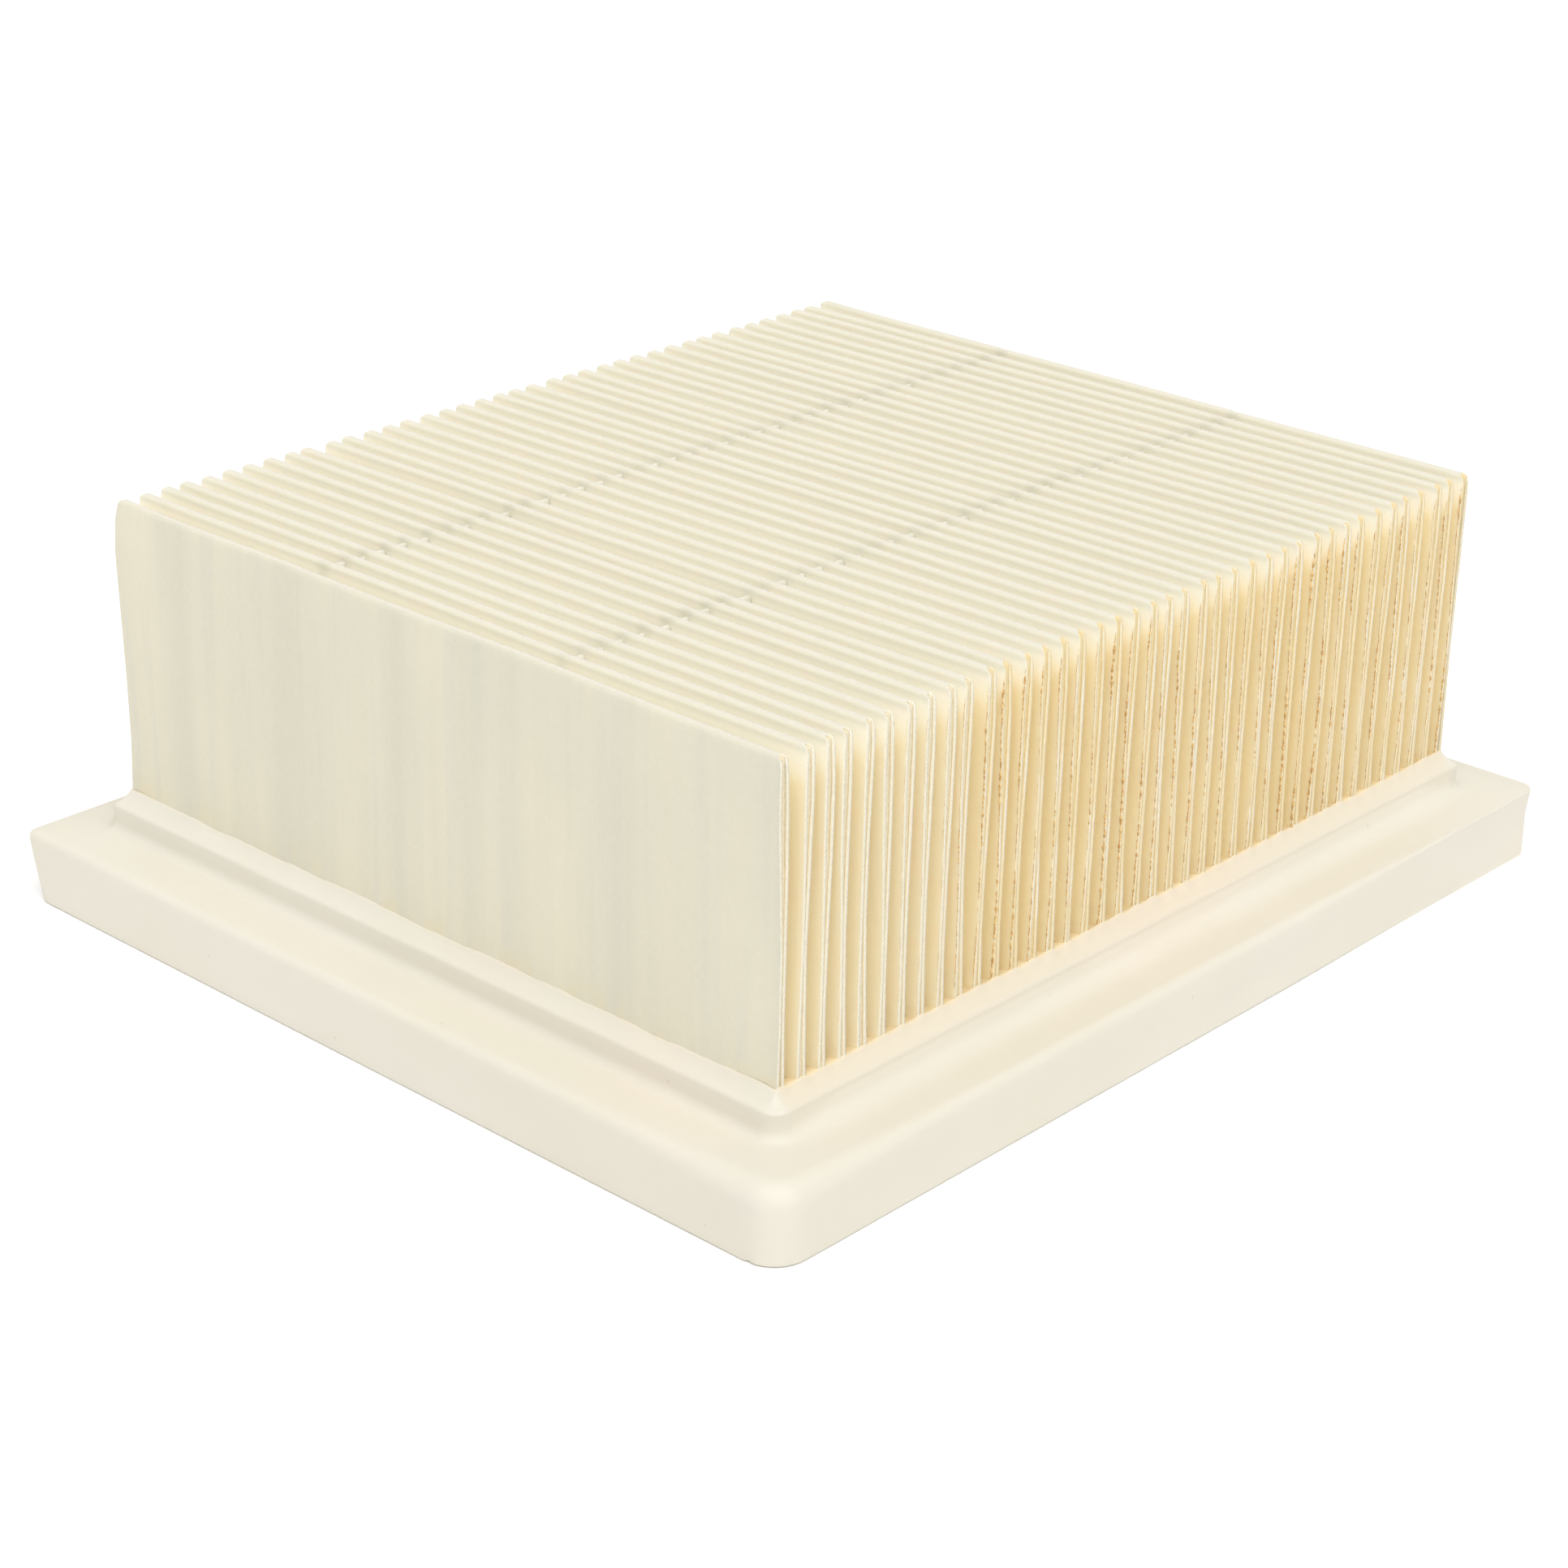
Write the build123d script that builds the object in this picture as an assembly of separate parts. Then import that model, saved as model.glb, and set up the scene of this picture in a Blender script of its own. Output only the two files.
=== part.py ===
from build123d import *
import math
import os

# Flat-fold air filter: one zigzag sheet of filter paper, its glue seams and spacer beads,
# and a soft polyurethane frame cast round the foot of the pack.
#
# Row frame: origin at the centre of the underside, +Z up through the pack,
# X along the folds, Y across them from the first pleat to the last. Millimetres.

# ---------------------------------------------------------------- driving dimensions

# Pleated paper pack
PACK_WIDTH = 160.0          # length of every fold, along X
PLEAT_COUNT = 40
PLEAT_PITCH = 4.73          # crest to crest, along Y
POCKET_THICKNESS = 2.3      # one pleat measured over both of its paper layers
PAPER_THICKNESS = 0.55
PLEAT_HEIGHT = 72.4         # underside of the valley folds to the top of the crests

# Glue seams that close the two ends of every pocket
SEAM_WIDTH = 3.0            # along X
SEAM_INSET = 0.4            # the paper stands past its glue by this much
SEAM_TOP_GAP = 0.3          # glue stops this far below the crest's bend

# Spacer beads, two lines of hot melt across all the pleats
LEFT_BEAD_X = -30.0
RIGHT_BEAD_X = 28.0
POCKET_BEAD_WIDTH = 2.0     # beads on the clean side, inside the pockets
GAP_BEAD_WIDTH = 1.4        # beads on the dirty side, between neighbouring pleats
BEAD_FOOT_GAP = 2.0         # bead starts this far above the fold or the mouth at its foot
BEAD_CREST_GAP = 1.6        # a gap bead ends this far below the crests

# Cast frame
RIM_HEIGHT = 13.9           # resting face to sealing ledge
LEDGE_SIDE = 13.8           # ledge beyond the pack at the ends of the folds, along X
LEDGE_END = 14.2            # ledge beyond the pack past the outer pleats, along Y
RIM_DRAFT = 1.0             # degrees; the wall leans in towards the resting face
RIM_CORNER_RADIUS = 5.0
FOOT_RADIUS = 2.5           # round under the outer wall
RIM_EDGE_RADIUS = 0.8       # round on the ledge's outer edge
COLLAR_WALL = 2.8           # collar's thickness outside the pack
COLLAR_RISE = 5.4           # ledge to the collar's outer shoulder
COLLAR_CLIMB = 2.6          # the shoulder slopes up to the paper by this much
COLLAR_LIP = 0.2            # flat left at the paper
COLLAR_CORNER_RADIUS = 2.6
COLLAR_ROOT_RADIUS = 1.0    # fillet from the ledge into the collar
SEAT_HEIGHT = 5.0           # resting face to the pack's underside
SEAT_OVERLAP = 5.0          # the frame reaches this far under the pack's edge
WINDOW_CORNER_RADIUS = 2.0

# ---------------------------------------------------------------- sizes that follow

PACK_DEPTH = (PLEAT_COUNT - 1) * PLEAT_PITCH + POCKET_THICKNESS
FIRST_PLEAT_Y = -(PLEAT_COUNT - 1) * PLEAT_PITCH / 2
CREST_Z = SEAT_HEIGHT + PLEAT_HEIGHT

POCKET_SPACE = POCKET_THICKNESS - 2 * PAPER_THICKNESS    # between a pleat's two layers
GAP_SPACE = PLEAT_PITCH - POCKET_THICKNESS               # between two pleats
CREST_CENTRE_Z = CREST_Z - POCKET_THICKNESS / 2
VALLEY_CENTRE_Z = SEAT_HEIGHT + GAP_SPACE / 2 + PAPER_THICKNESS

RIM_WIDTH = PACK_WIDTH + 2 * LEDGE_SIDE
RIM_DEPTH = PACK_DEPTH + 2 * LEDGE_END
COLLAR_TOP_Z = RIM_HEIGHT + COLLAR_RISE + COLLAR_CLIMB

TOUCH = 1e-4                # nearer than this counts as touching


def pleat_centres():
    """Y of the middle of every pleat, first to last."""
    return [FIRST_PLEAT_Y + i * PLEAT_PITCH for i in range(PLEAT_COUNT)]


def gap_centres():
    """Y of the middle of every gap between two pleats."""
    return [y + PLEAT_PITCH / 2 for y in pleat_centres()[:-1]]


def at(y, z):
    """A point of the pack's cross-section, which lies in the YZ plane."""
    return (0, y, z)


def sheet_surface(crest_radius, valley_radius):
    """One face of the folded sheet in cross-section: straight runs joined by half circles.

    The dirty face has large crest bends and small valley bends, the clean face the reverse.
    """
    edges = []
    last = pleat_centres()[-1]
    for y in pleat_centres():
        near, far = y - crest_radius, y + crest_radius
        near_foot = SEAT_HEIGHT if y == pleat_centres()[0] else VALLEY_CENTRE_Z
        far_foot = SEAT_HEIGHT if y == last else VALLEY_CENTRE_Z
        edges.append(Line(at(near, near_foot), at(near, CREST_CENTRE_Z)))
        edges.append(ThreePointArc(at(near, CREST_CENTRE_Z),
                                   at(y, CREST_CENTRE_Z + crest_radius),
                                   at(far, CREST_CENTRE_Z)))
        edges.append(Line(at(far, CREST_CENTRE_Z), at(far, far_foot)))
        if y != last:
            valley = y + PLEAT_PITCH / 2
            edges.append(ThreePointArc(at(far, VALLEY_CENTRE_Z),
                                       at(valley, VALLEY_CENTRE_Z - valley_radius),
                                       at(valley + valley_radius, VALLEY_CENTRE_Z)))
    return edges


def pleated_medium():
    """The whole filter paper: one sheet folded to and fro, drawn end-on and run along the folds."""
    dirty = sheet_surface(POCKET_THICKNESS / 2, GAP_SPACE / 2)
    clean = sheet_surface(POCKET_SPACE / 2, GAP_SPACE / 2 + PAPER_THICKNESS)
    ends = []
    for side in (-1, 1):
        outside = side * PACK_DEPTH / 2
        inside = outside - side * PAPER_THICKNESS
        ends.append(Line(at(outside, SEAT_HEIGHT), at(inside, SEAT_HEIGHT)))
    outline = Wire(dirty + clean + ends)
    return extrude(Face(outline), amount=PACK_WIDTH / 2, both=True)


def strip(x, y, width, thickness, foot_z, top_z):
    """An upright strip of glue, its middle on (x, y)."""
    block = Box(width, thickness, top_z - foot_z, align=(Align.CENTER, Align.CENTER, Align.MIN))
    return Pos(x, y, foot_z) * block


def edge_seams(side):
    """The glue that closes the pockets at one end of the folds; side is -1 or 1."""
    x = side * (PACK_WIDTH / 2 - SEAM_INSET - SEAM_WIDTH / 2)
    top_z = CREST_CENTRE_Z - SEAM_TOP_GAP
    return Compound([strip(x, y, SEAM_WIDTH, POCKET_SPACE, SEAT_HEIGHT, top_z)
                     for y in pleat_centres()])


def pocket_beads(x):
    """One line of clean-side beads, each holding a pocket's two layers apart."""
    foot_z = SEAT_HEIGHT + BEAD_FOOT_GAP
    return Compound([strip(x, y, POCKET_BEAD_WIDTH, POCKET_SPACE, foot_z, CREST_CENTRE_Z)
                     for y in pleat_centres()])


def gap_beads(x):
    """One line of dirty-side beads, each holding two neighbouring pleats apart."""
    foot_z = VALLEY_CENTRE_Z + BEAD_FOOT_GAP
    top_z = CREST_Z - BEAD_CREST_GAP
    return Compound([strip(x, y, GAP_BEAD_WIDTH, GAP_SPACE, foot_z, top_z)
                     for y in gap_centres()])


def outer_edges(solid, z):
    """The edges of a solid that lie wholly at height z."""
    return solid.edges().filter_by_position(Axis.Z, z, z)


def rim():
    """The frame's outer body, which widens from the resting face up to the ledge."""
    lean = RIM_HEIGHT * math.tan(math.radians(RIM_DRAFT))
    foot = RectangleRounded(RIM_WIDTH - 2 * lean, RIM_DEPTH - 2 * lean, RIM_CORNER_RADIUS)
    top = RectangleRounded(RIM_WIDTH, RIM_DEPTH, RIM_CORNER_RADIUS)
    body = loft([foot, Pos(0, 0, RIM_HEIGHT) * top], ruled=True)
    body = fillet(outer_edges(body, 0), FOOT_RADIUS)
    return fillet(outer_edges(body, RIM_HEIGHT), RIM_EDGE_RADIUS)


def pack_outline(wall, corner_radius):
    """The pack seen from above, with a wall all round it."""
    return RectangleRounded(PACK_WIDTH + 2 * wall, PACK_DEPTH + 2 * wall, corner_radius)


def collar():
    """The step that grips the pack, with its shoulder sloping up to the paper."""
    outline = pack_outline(COLLAR_WALL, COLLAR_CORNER_RADIUS)
    shoulder_z = RIM_HEIGHT + COLLAR_RISE
    slope = loft([Pos(0, 0, shoulder_z) * outline,
                  Pos(0, 0, COLLAR_TOP_Z) * pack_outline(COLLAR_LIP, COLLAR_LIP)], ruled=True)
    return extrude(outline, shoulder_z) + slope


def edges_on(body, outline):
    """The body's edges whose middles lie on the border of a flat outline."""
    border = outline.wire()
    return [edge for edge in body.edges()
            if border.distance_to(edge.position_at(0.5)) < TOUCH]


def seal_frame():
    """The cast frame: rim and collar in one, with the pack's socket and the clean-air window."""
    collar_root = Pos(0, 0, RIM_HEIGHT) * pack_outline(COLLAR_WALL, COLLAR_CORNER_RADIUS)
    body = fillet(edges_on(rim() + collar(), collar_root), COLLAR_ROOT_RADIUS)
    socket = Pos(0, 0, SEAT_HEIGHT) * extrude(Rectangle(PACK_WIDTH, PACK_DEPTH), COLLAR_TOP_Z)
    window = RectangleRounded(PACK_WIDTH - 2 * SEAT_OVERLAP, PACK_DEPTH - 2 * SEAT_OVERLAP,
                              WINDOW_CORNER_RADIUS)
    return body - socket - extrude(window, COLLAR_TOP_Z)


def build_parts():
    """Every node of the filter by name."""
    return {
        "pleated_medium": pleated_medium(),
        "left_edge_seams": edge_seams(-1),
        "right_edge_seams": edge_seams(1),
        "left_pocket_beads": pocket_beads(LEFT_BEAD_X),
        "right_pocket_beads": pocket_beads(RIGHT_BEAD_X),
        "left_gap_beads": gap_beads(LEFT_BEAD_X),
        "right_gap_beads": gap_beads(RIGHT_BEAD_X),
        "seal_frame": seal_frame(),
    }


os.makedirs("parts", exist_ok=True)
for name, shape in build_parts().items():
    export_step(shape, f"parts/{name}.step")
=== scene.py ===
"""A flat-fold air filter: a block of deep paper pleats cast into an ivory polyurethane frame.

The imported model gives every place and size. Shapes are worked out in millimetres, as surfaces over
two parameters, and become metres when their mesh is made. X runs along the folds, Y across them
from the first pleat to the last, and Z up to the crests.
"""
import math

import bpy
import numpy as np
from mathutils import Matrix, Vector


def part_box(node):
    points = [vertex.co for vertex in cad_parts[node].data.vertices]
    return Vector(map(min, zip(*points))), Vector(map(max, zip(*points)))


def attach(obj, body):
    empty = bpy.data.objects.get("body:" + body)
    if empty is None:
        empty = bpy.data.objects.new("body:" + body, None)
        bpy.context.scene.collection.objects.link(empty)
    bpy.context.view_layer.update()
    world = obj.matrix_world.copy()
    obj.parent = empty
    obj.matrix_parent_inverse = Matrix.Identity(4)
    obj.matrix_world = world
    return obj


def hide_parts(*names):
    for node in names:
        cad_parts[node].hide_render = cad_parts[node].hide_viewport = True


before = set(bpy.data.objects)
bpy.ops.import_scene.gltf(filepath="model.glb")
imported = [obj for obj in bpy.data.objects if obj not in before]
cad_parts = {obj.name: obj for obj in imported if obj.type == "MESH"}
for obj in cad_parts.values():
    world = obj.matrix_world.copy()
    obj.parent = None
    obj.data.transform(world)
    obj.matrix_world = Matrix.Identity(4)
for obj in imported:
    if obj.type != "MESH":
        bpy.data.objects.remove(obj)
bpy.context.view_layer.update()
MM = 0.001

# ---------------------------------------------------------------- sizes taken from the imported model


def box_mm(node):
    """A node's lowest and highest corners, in millimetres."""
    low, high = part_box(node)
    return np.array(low) / MM, np.array(high) / MM


PACK_LOW, PACK_HIGH = box_mm("pleated_medium")
RIM_LOW, RIM_HIGH = box_mm("seal_frame")
HALF_FOLD, HALF_DEPTH, CREST = PACK_HIGH
SEAT = PACK_LOW[2]
BEAD_LINES = [float(np.mean([corner[0] for corner in box_mm(node)]))
              for node in ("left_gap_beads", "right_gap_beads")]

# ---------------------------------------------------------------- the maker's own sizes, millimetres

PLEATS = 40
PAPER = 0.55                    # thickness
POCKET = 2.3                    # a pleat over both layers
TIP = 1.75                      # the same at the crest, where the fold is pressed sharper
PITCH = (2 * HALF_DEPTH - POCKET) / (PLEATS - 1)
VALLEY_RADIUS = (PITCH - POCKET + PAPER) / 2
VALLEY_CENTRE = SEAT + VALLEY_RADIUS + PAPER / 2
CREST_RADIUS = (TIP - PAPER) / 2
CREST_SAG = 0.25                # how far the lowest crest may sit below the highest
FREE_FROM = 22.0                # the paper is held by the frame up to this height
CREST_CORNER = 1.3              # rounding of the sheet's corners at the ends of the crests
BARE_PLEATS = 9                 # the first pleats, whose right ends show clean cut paper

LEDGE = 13.9                    # height of the sealing ledge
LEDGE_SIDE = RIM_HIGH[0] - HALF_FOLD
LEDGE_END = RIM_HIGH[1] - HALF_DEPTH
COLLAR_WALL = 2.8               # how far the collar stands out from the pack
COLLAR_SHOULDER = 18.3          # where the collar's wall starts to turn in
SHOULDER_ROUND = 0.9
FOOT_ROUND = 0.6
SEAT_OVERLAP = 5.0              # how far the frame reaches in under the pack

STRAND_SIDES = 6                # corners round a thread of squeezed glue
SEAM_DEPTH = 2.6                # how deep an edge seam fills its pocket
BODY_RINGS = 9                  # rings up a bead's straight part
CROWN_RINGS = 5                 # rings over a bead's round top
BEAD_WAIST = 0.35               # how far a bead draws in halfway across, as a share of its width

rng = np.random.default_rng(11)


def smooth(t):
    """Smooth step: 0 below 0, 1 above 1, level at both ends."""
    t = np.clip(t, 0, 1)
    return t * t * (3 - 2 * t)


def bump(t, centre, width):
    """A bell of height 1 about a centre."""
    return np.exp(-((t - centre) / width) ** 2)


def slow_noise(seed, waves, longest, shortest):
    """A smooth random function of one length: a sum of sines with seeded wavelengths and phases.

    It stays within about -1 to 1.
    """
    draw = np.random.default_rng(seed)
    lengths = np.geomspace(longest, shortest, waves) * draw.uniform(0.85, 1.2, waves)
    phases = draw.uniform(0, 2 * np.pi, waves)
    share = (lengths / longest) ** 0.7
    share = share / share.sum() * 1.3

    def value(t):
        t = np.asarray(t, float)
        return sum(a * np.sin(2 * np.pi * t / length + p)
                   for a, length, p in zip(share, lengths, phases))
    return value


# ---------------------------------------------------------------- how every pleat stands

class Pack:
    """The pleats' irregular stance: each one's shift, wave and height, the same for all pieces."""

    shift = rng.normal(0, 0.34, PLEATS).clip(-0.7, 0.7)
    bow = rng.normal(0, 0.16, PLEATS)
    wave = rng.uniform(0.05, 0.17, PLEATS)
    wave_length = rng.uniform(55, 120, PLEATS)
    wave_phase = rng.uniform(0, 2 * np.pi, PLEATS)
    ripple = rng.uniform(0.01, 0.045, PLEATS)
    ripple_length = rng.uniform(14, 26, PLEATS)
    sag = rng.uniform(0, 0.6, PLEATS) * CREST_SAG
    pinch_height = rng.normal(37, 4, PLEATS)
    pinch = rng.uniform(0.28, 0.40, PLEATS)
    end_lean = rng.normal(0, 0.16, (2, PLEATS))
    cut = rng.uniform(-0.22, 0.0, (2, PLEATS))


Pack.shift[[0, -1]] = 0.0


def middle(pleat, x, z):
    """Y of a pleat's middle surface.

    Its even place, plus a shift and a bow that start where the frame lets go, plus a long wave
    and a short ripple along the fold, plus a small step where each line of beads crosses.
    """
    up = (z - FREE_FROM) / (CREST - FREE_FROM)
    free = smooth(up * 1.15)
    even = -HALF_DEPTH + POCKET / 2 + pleat * PITCH
    turn, phase = 2 * np.pi * x, Pack.wave_phase[pleat]
    wave = Pack.wave[pleat] * np.sin(turn / Pack.wave_length[pleat] + phase)
    ripple = Pack.ripple[pleat] * np.sin(turn / Pack.ripple_length[pleat] + 3 * phase)
    climb = np.pi * np.clip(up, 0, 1)
    bowed = Pack.bow[pleat] * np.sin(climb)
    steps = sum(0.09 * np.tanh((x - line) / 0.7) for line in BEAD_LINES)
    end = (x > 0).astype(int)
    lean = Pack.end_lean[end, pleat] * smooth((np.abs(x) - 62) / 18) * np.sin(1.4 * climb)
    return even + free * (Pack.shift[pleat] + wave + ripple - steps) + bowed + lean


def half_gap(pleat, x, z):
    """Half the distance between a pleat's two layers, middle of paper to middle of paper.

    Full in the body, less at the crest, and pinched by the glue at the two ends of the fold.
    """
    body = (POCKET - PAPER) / 2
    tip = CREST_RADIUS
    near_crest = smooth((CREST - CREST_RADIUS - z) / 7.0)
    inner = tip + (body - tip) * near_crest
    pinched = body - (body - Pack.pinch[pleat]) * bump(z, Pack.pinch_height[pleat], 19.0)
    pinched = np.minimum(pinched, inner)
    at_end = smooth((np.abs(x) - 69) / 9.5)
    return inner + (pinched - inner) * at_end


def sheet_x(along, pleat, z):
    """X of the sheet for along from -1 to 1: the fold's half length, less the rounded corner.

    The corner follows a quarter circle, and each pleat is cut a little shorter than the longest.
    """
    top = CREST - PAPER / 2
    into = np.clip((z - (top - CREST_CORNER)) / CREST_CORNER, 0, 1)
    corner = CREST_CORNER * (1 - np.sqrt(1 - into ** 2))
    end = (along > 0).astype(int)
    wobble = Pack.cut[end, pleat] * smooth((z - FREE_FROM) / 12) * np.abs(along) ** 6
    return along * (HALF_FOLD - corner) + np.sign(along) * wobble


# ---------------------------------------------------------------- meshes

def new_piece(name, points, faces, materials, face_materials=None, values=None, flat=False):
    """A mesh object at the origin from points in millimetres and faces, with its materials.

    values holds named numbers, one for each point, which its materials may read.
    """
    mesh = bpy.data.meshes.new(name)
    mesh.from_pydata((np.asarray(points) * MM).tolist(), [], faces)
    for material in materials:
        mesh.materials.append(material)
    if face_materials is not None:
        mesh.polygons.foreach_set("material_index", np.asarray(face_materials, np.int32))
    mesh.polygons.foreach_set("use_smooth", np.full(len(mesh.polygons), not flat))
    for key, numbers in (values or {}).items():
        attribute = mesh.attributes.new(key, "FLOAT", "POINT")
        attribute.data.foreach_set("value", np.asarray(numbers, np.float32).ravel())
    mesh.validate()
    mesh.update()
    piece = bpy.data.objects.new(name, mesh)
    bpy.context.scene.collection.objects.link(piece)
    return piece


def grid_faces(rows, columns, first=0, wrap_rows=False, wrap_columns=False):
    """Quads over a grid of points numbered row by row."""
    r = np.arange(rows if wrap_rows else rows - 1)[:, None]
    c = np.arange(columns if wrap_columns else columns - 1)[None, :]
    r2, c2 = (r + 1) % rows, (c + 1) % columns
    quads = np.stack([r * columns + c, r * columns + c2, r2 * columns + c2, r2 * columns + c], -1)
    return quads.reshape(-1, 4) + first


def tube_faces(rings, around, first=0):
    """Quads of a closed tube of rings, with an end cap on each end."""
    quads = grid_faces(rings, around, first, wrap_columns=True)
    start = (first + np.arange(around))[::-1]
    stop = first + (rings - 1) * around + np.arange(around)
    return quads.tolist() + [start.tolist(), stop.tolist()]


# ---------------------------------------------------------------- the pleated sheet

def sheet_rows():
    """The sheet's rows, in order along the paper: pleat, side, height and share of the next pleat.

    side runs -1 on a pleat's near layer, through 0 at the crest's middle, to 1 on its far layer.
    A valley's rows pass from one pleat's far layer to the next one's near layer by the share.
    """
    crest_centre = CREST - PAPER / 2 - CREST_RADIUS
    climb = np.array([VALLEY_CENTRE, 21.0, 31.0, 44.0, 57.0, 68.0, 73.4, 75.4, crest_centre])
    over = np.linspace(0, np.pi, 7)[1:-1]
    under = np.linspace(0, np.pi, 5)[1:-1]
    flat, level = np.ones_like(climb), np.zeros_like(climb)
    side = np.concatenate([-flat, -np.cos(over), flat, np.ones_like(under)])
    height = np.concatenate([climb, crest_centre + CREST_RADIUS * np.sin(over), climb[::-1],
                             VALLEY_CENTRE - VALLEY_RADIUS * np.sin(under)])
    share = np.concatenate([level, np.zeros_like(over), level, (1 - np.cos(under)) / 2])
    crest = np.concatenate([level, np.sin(over), level, np.zeros_like(under)])
    rows = len(side)
    pleat = np.repeat(np.arange(PLEATS), rows)
    side, height, share, crest = (np.tile(a, PLEATS) for a in (side, height, share, crest))
    keep = slice(0, rows * PLEATS - len(under))
    pleat, side, height, share, crest = (a[keep] for a in (pleat, side, height, share, crest))
    height[0] = height[-1] = SEAT
    return pleat, side, height, share, crest


def front_bulge(pleat, side, x, z):
    """How far the outer panels stand out: upright ripples, with a swell and a hollow by the left edge.

    The ripples are a slow noise along the fold. They fade at the frame and at the crest.
    """
    ripples = slow_noise(5, 7, 46, 7.5)(x + 0.05 * (z - 50))
    height = smooth((z - FREE_FROM) / 14) * smooth((CREST - z) / 9)
    swell = 0.75 * bump(z, 69, 11) * smooth((-x - 62) / 18)
    hollow = 0.4 * bump(z, 36, 9) * smooth((-x - 60) / 20)
    left = (swell - hollow) * smooth((CREST - z) / 5)
    outer = np.where((pleat == 0) & (side < 0), -1.0, 0.0)
    outer = np.where((pleat == PLEATS - 1) & (side > 0), 1.0, outer)
    return outer * (0.17 * height * ripples + left)


def sheet_middle(along):
    """The sheet's middle surface as rows of points, for the places along the folds."""
    pleat, side, height, share, crest = sheet_rows()
    pleat, side, height, share = (a[:, None] for a in (pleat, side, height, share))
    next_pleat = np.minimum(pleat + 1, PLEATS - 1)
    x = sheet_x(along[None, :], pleat, height)
    lift = (height - VALLEY_CENTRE) / (CREST - VALLEY_CENTRE)
    crest_wave = 0.5 + 0.5 * np.sin(x / 19.0 + Pack.wave_phase[pleat] * 2)
    dent = sum(bump(x, line, 1.1) for line in BEAD_LINES)
    sag = Pack.sag[pleat] + 0.4 * CREST_SAG * crest_wave + 0.08 * dent
    z = height - np.clip(lift, 0, 1) ** 3 * sag
    own = middle(pleat, x, height) + side * half_gap(pleat, x, height)
    own = own + front_bulge(pleat, side, x, height)
    following = middle(next_pleat, x, height) - half_gap(next_pleat, x, height)
    y = own + share * (following - own)
    return np.stack([x, y, z], -1), crest


def columns():
    """Places along a fold, from -1 to 1: close at the ends and at the beads, even between them."""
    ends = 1 - np.array([0, 0.12, 0.5, 1.3, 2.8, 5.2]) / HALF_FOLD
    by_bead = np.array([-1.6, -0.7, 0, 0.7, 1.6])
    beads = np.concatenate([line + by_bead for line in BEAD_LINES]) / HALF_FOLD
    even = np.linspace(-71.5, 71.5, 44) / HALF_FOLD
    clear = np.min(np.abs(even[:, None] - beads[None, :]), axis=1) > 1.5 / HALF_FOLD
    return np.unique(np.concatenate([-ends, ends, beads, even[clear]]))


def clean_columns(count):
    """The columns that the clean face keeps: some by each end, and every fourth between."""
    by_end = np.array([0, 1, 3, 5])
    return np.unique(np.concatenate([by_end, np.arange(8, count - 8, 4), count - 1 - by_end]))


def paper_sheet(face, edge):
    """The filter paper as one closed shell: its dirty and clean faces half a thickness each side.

    Each face is the middle surface, moved along its normal, which is the cross product of its two
    tangents. The clean face has fewer columns, and strips of cut edge join the two faces.
    """
    along = columns()
    middle_points, crest = sheet_middle(along)
    run = np.gradient(middle_points, axis=1)
    climb = np.gradient(middle_points, axis=0)
    normal = np.cross(run, climb)
    normal = normal / np.linalg.norm(normal, axis=-1, keepdims=True)
    dirty = middle_points + normal * PAPER / 2
    inner = clean_columns(len(along))
    clean = (middle_points - normal * PAPER / 2)[:, inner]
    rows, wide, narrow = len(dirty), len(along), len(inner)
    offset = rows * wide
    outside = grid_faces(rows, wide)
    inside = grid_faces(rows, narrow, offset)[:, ::-1]
    dirty_edge = np.arange(rows) * wide
    clean_edge = offset + np.arange(rows) * narrow
    left = np.stack([dirty_edge[:-1], dirty_edge[1:], clean_edge[1:], clean_edge[:-1]], -1)
    dirty_edge = dirty_edge + wide - 1
    clean_edge = clean_edge + narrow - 1
    right = np.stack([dirty_edge[:-1], clean_edge[:-1], clean_edge[1:], dirty_edge[1:]], -1)
    hems = []
    for row, turn in ((0, -1), (rows - 1, 1)):
        for j, (a, b) in enumerate(zip(inner[:-1], inner[1:])):
            rim = [row * wide + c for c in range(a, b + 1)]
            rim += [offset + row * narrow + j + 1, offset + row * narrow + j]
            hems.append(rim[::-1] if turn < 0 else rim)
    faces = outside.tolist() + inside.tolist() + left.tolist() + right.tolist()
    paints = [0] * len(faces)
    paints[len(outside) + len(inside):] = [1] * (len(left) + len(right))
    faces += hems
    paints += [1] * len(hems)
    on_crest = np.concatenate([np.repeat(crest, wide), np.repeat(np.zeros(rows), narrow)])
    late = pleat_glue(sheet_rows()[0])
    soaked = np.concatenate([np.repeat(late, wide), np.repeat(late, narrow)])
    points = np.concatenate([dirty.reshape(-1, 3), clean.reshape(-1, 3)])
    return new_piece("paper_pleats", points, faces, [face, edge], paints,
                     {"crest": on_crest, "glue_soak": soaked})


def pleat_glue(pleat):
    """How much the edge glue shows on a pleat's ends: little on the first few, full on the rest."""
    spread = slow_noise(23, 4, 17, 4)(pleat)
    return np.clip(smooth((pleat - BARE_PLEATS + 2.5) / 5) * (0.85 + 0.15 * spread), 0, 1)


# ---------------------------------------------------------------- glue seams and beads

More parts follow.
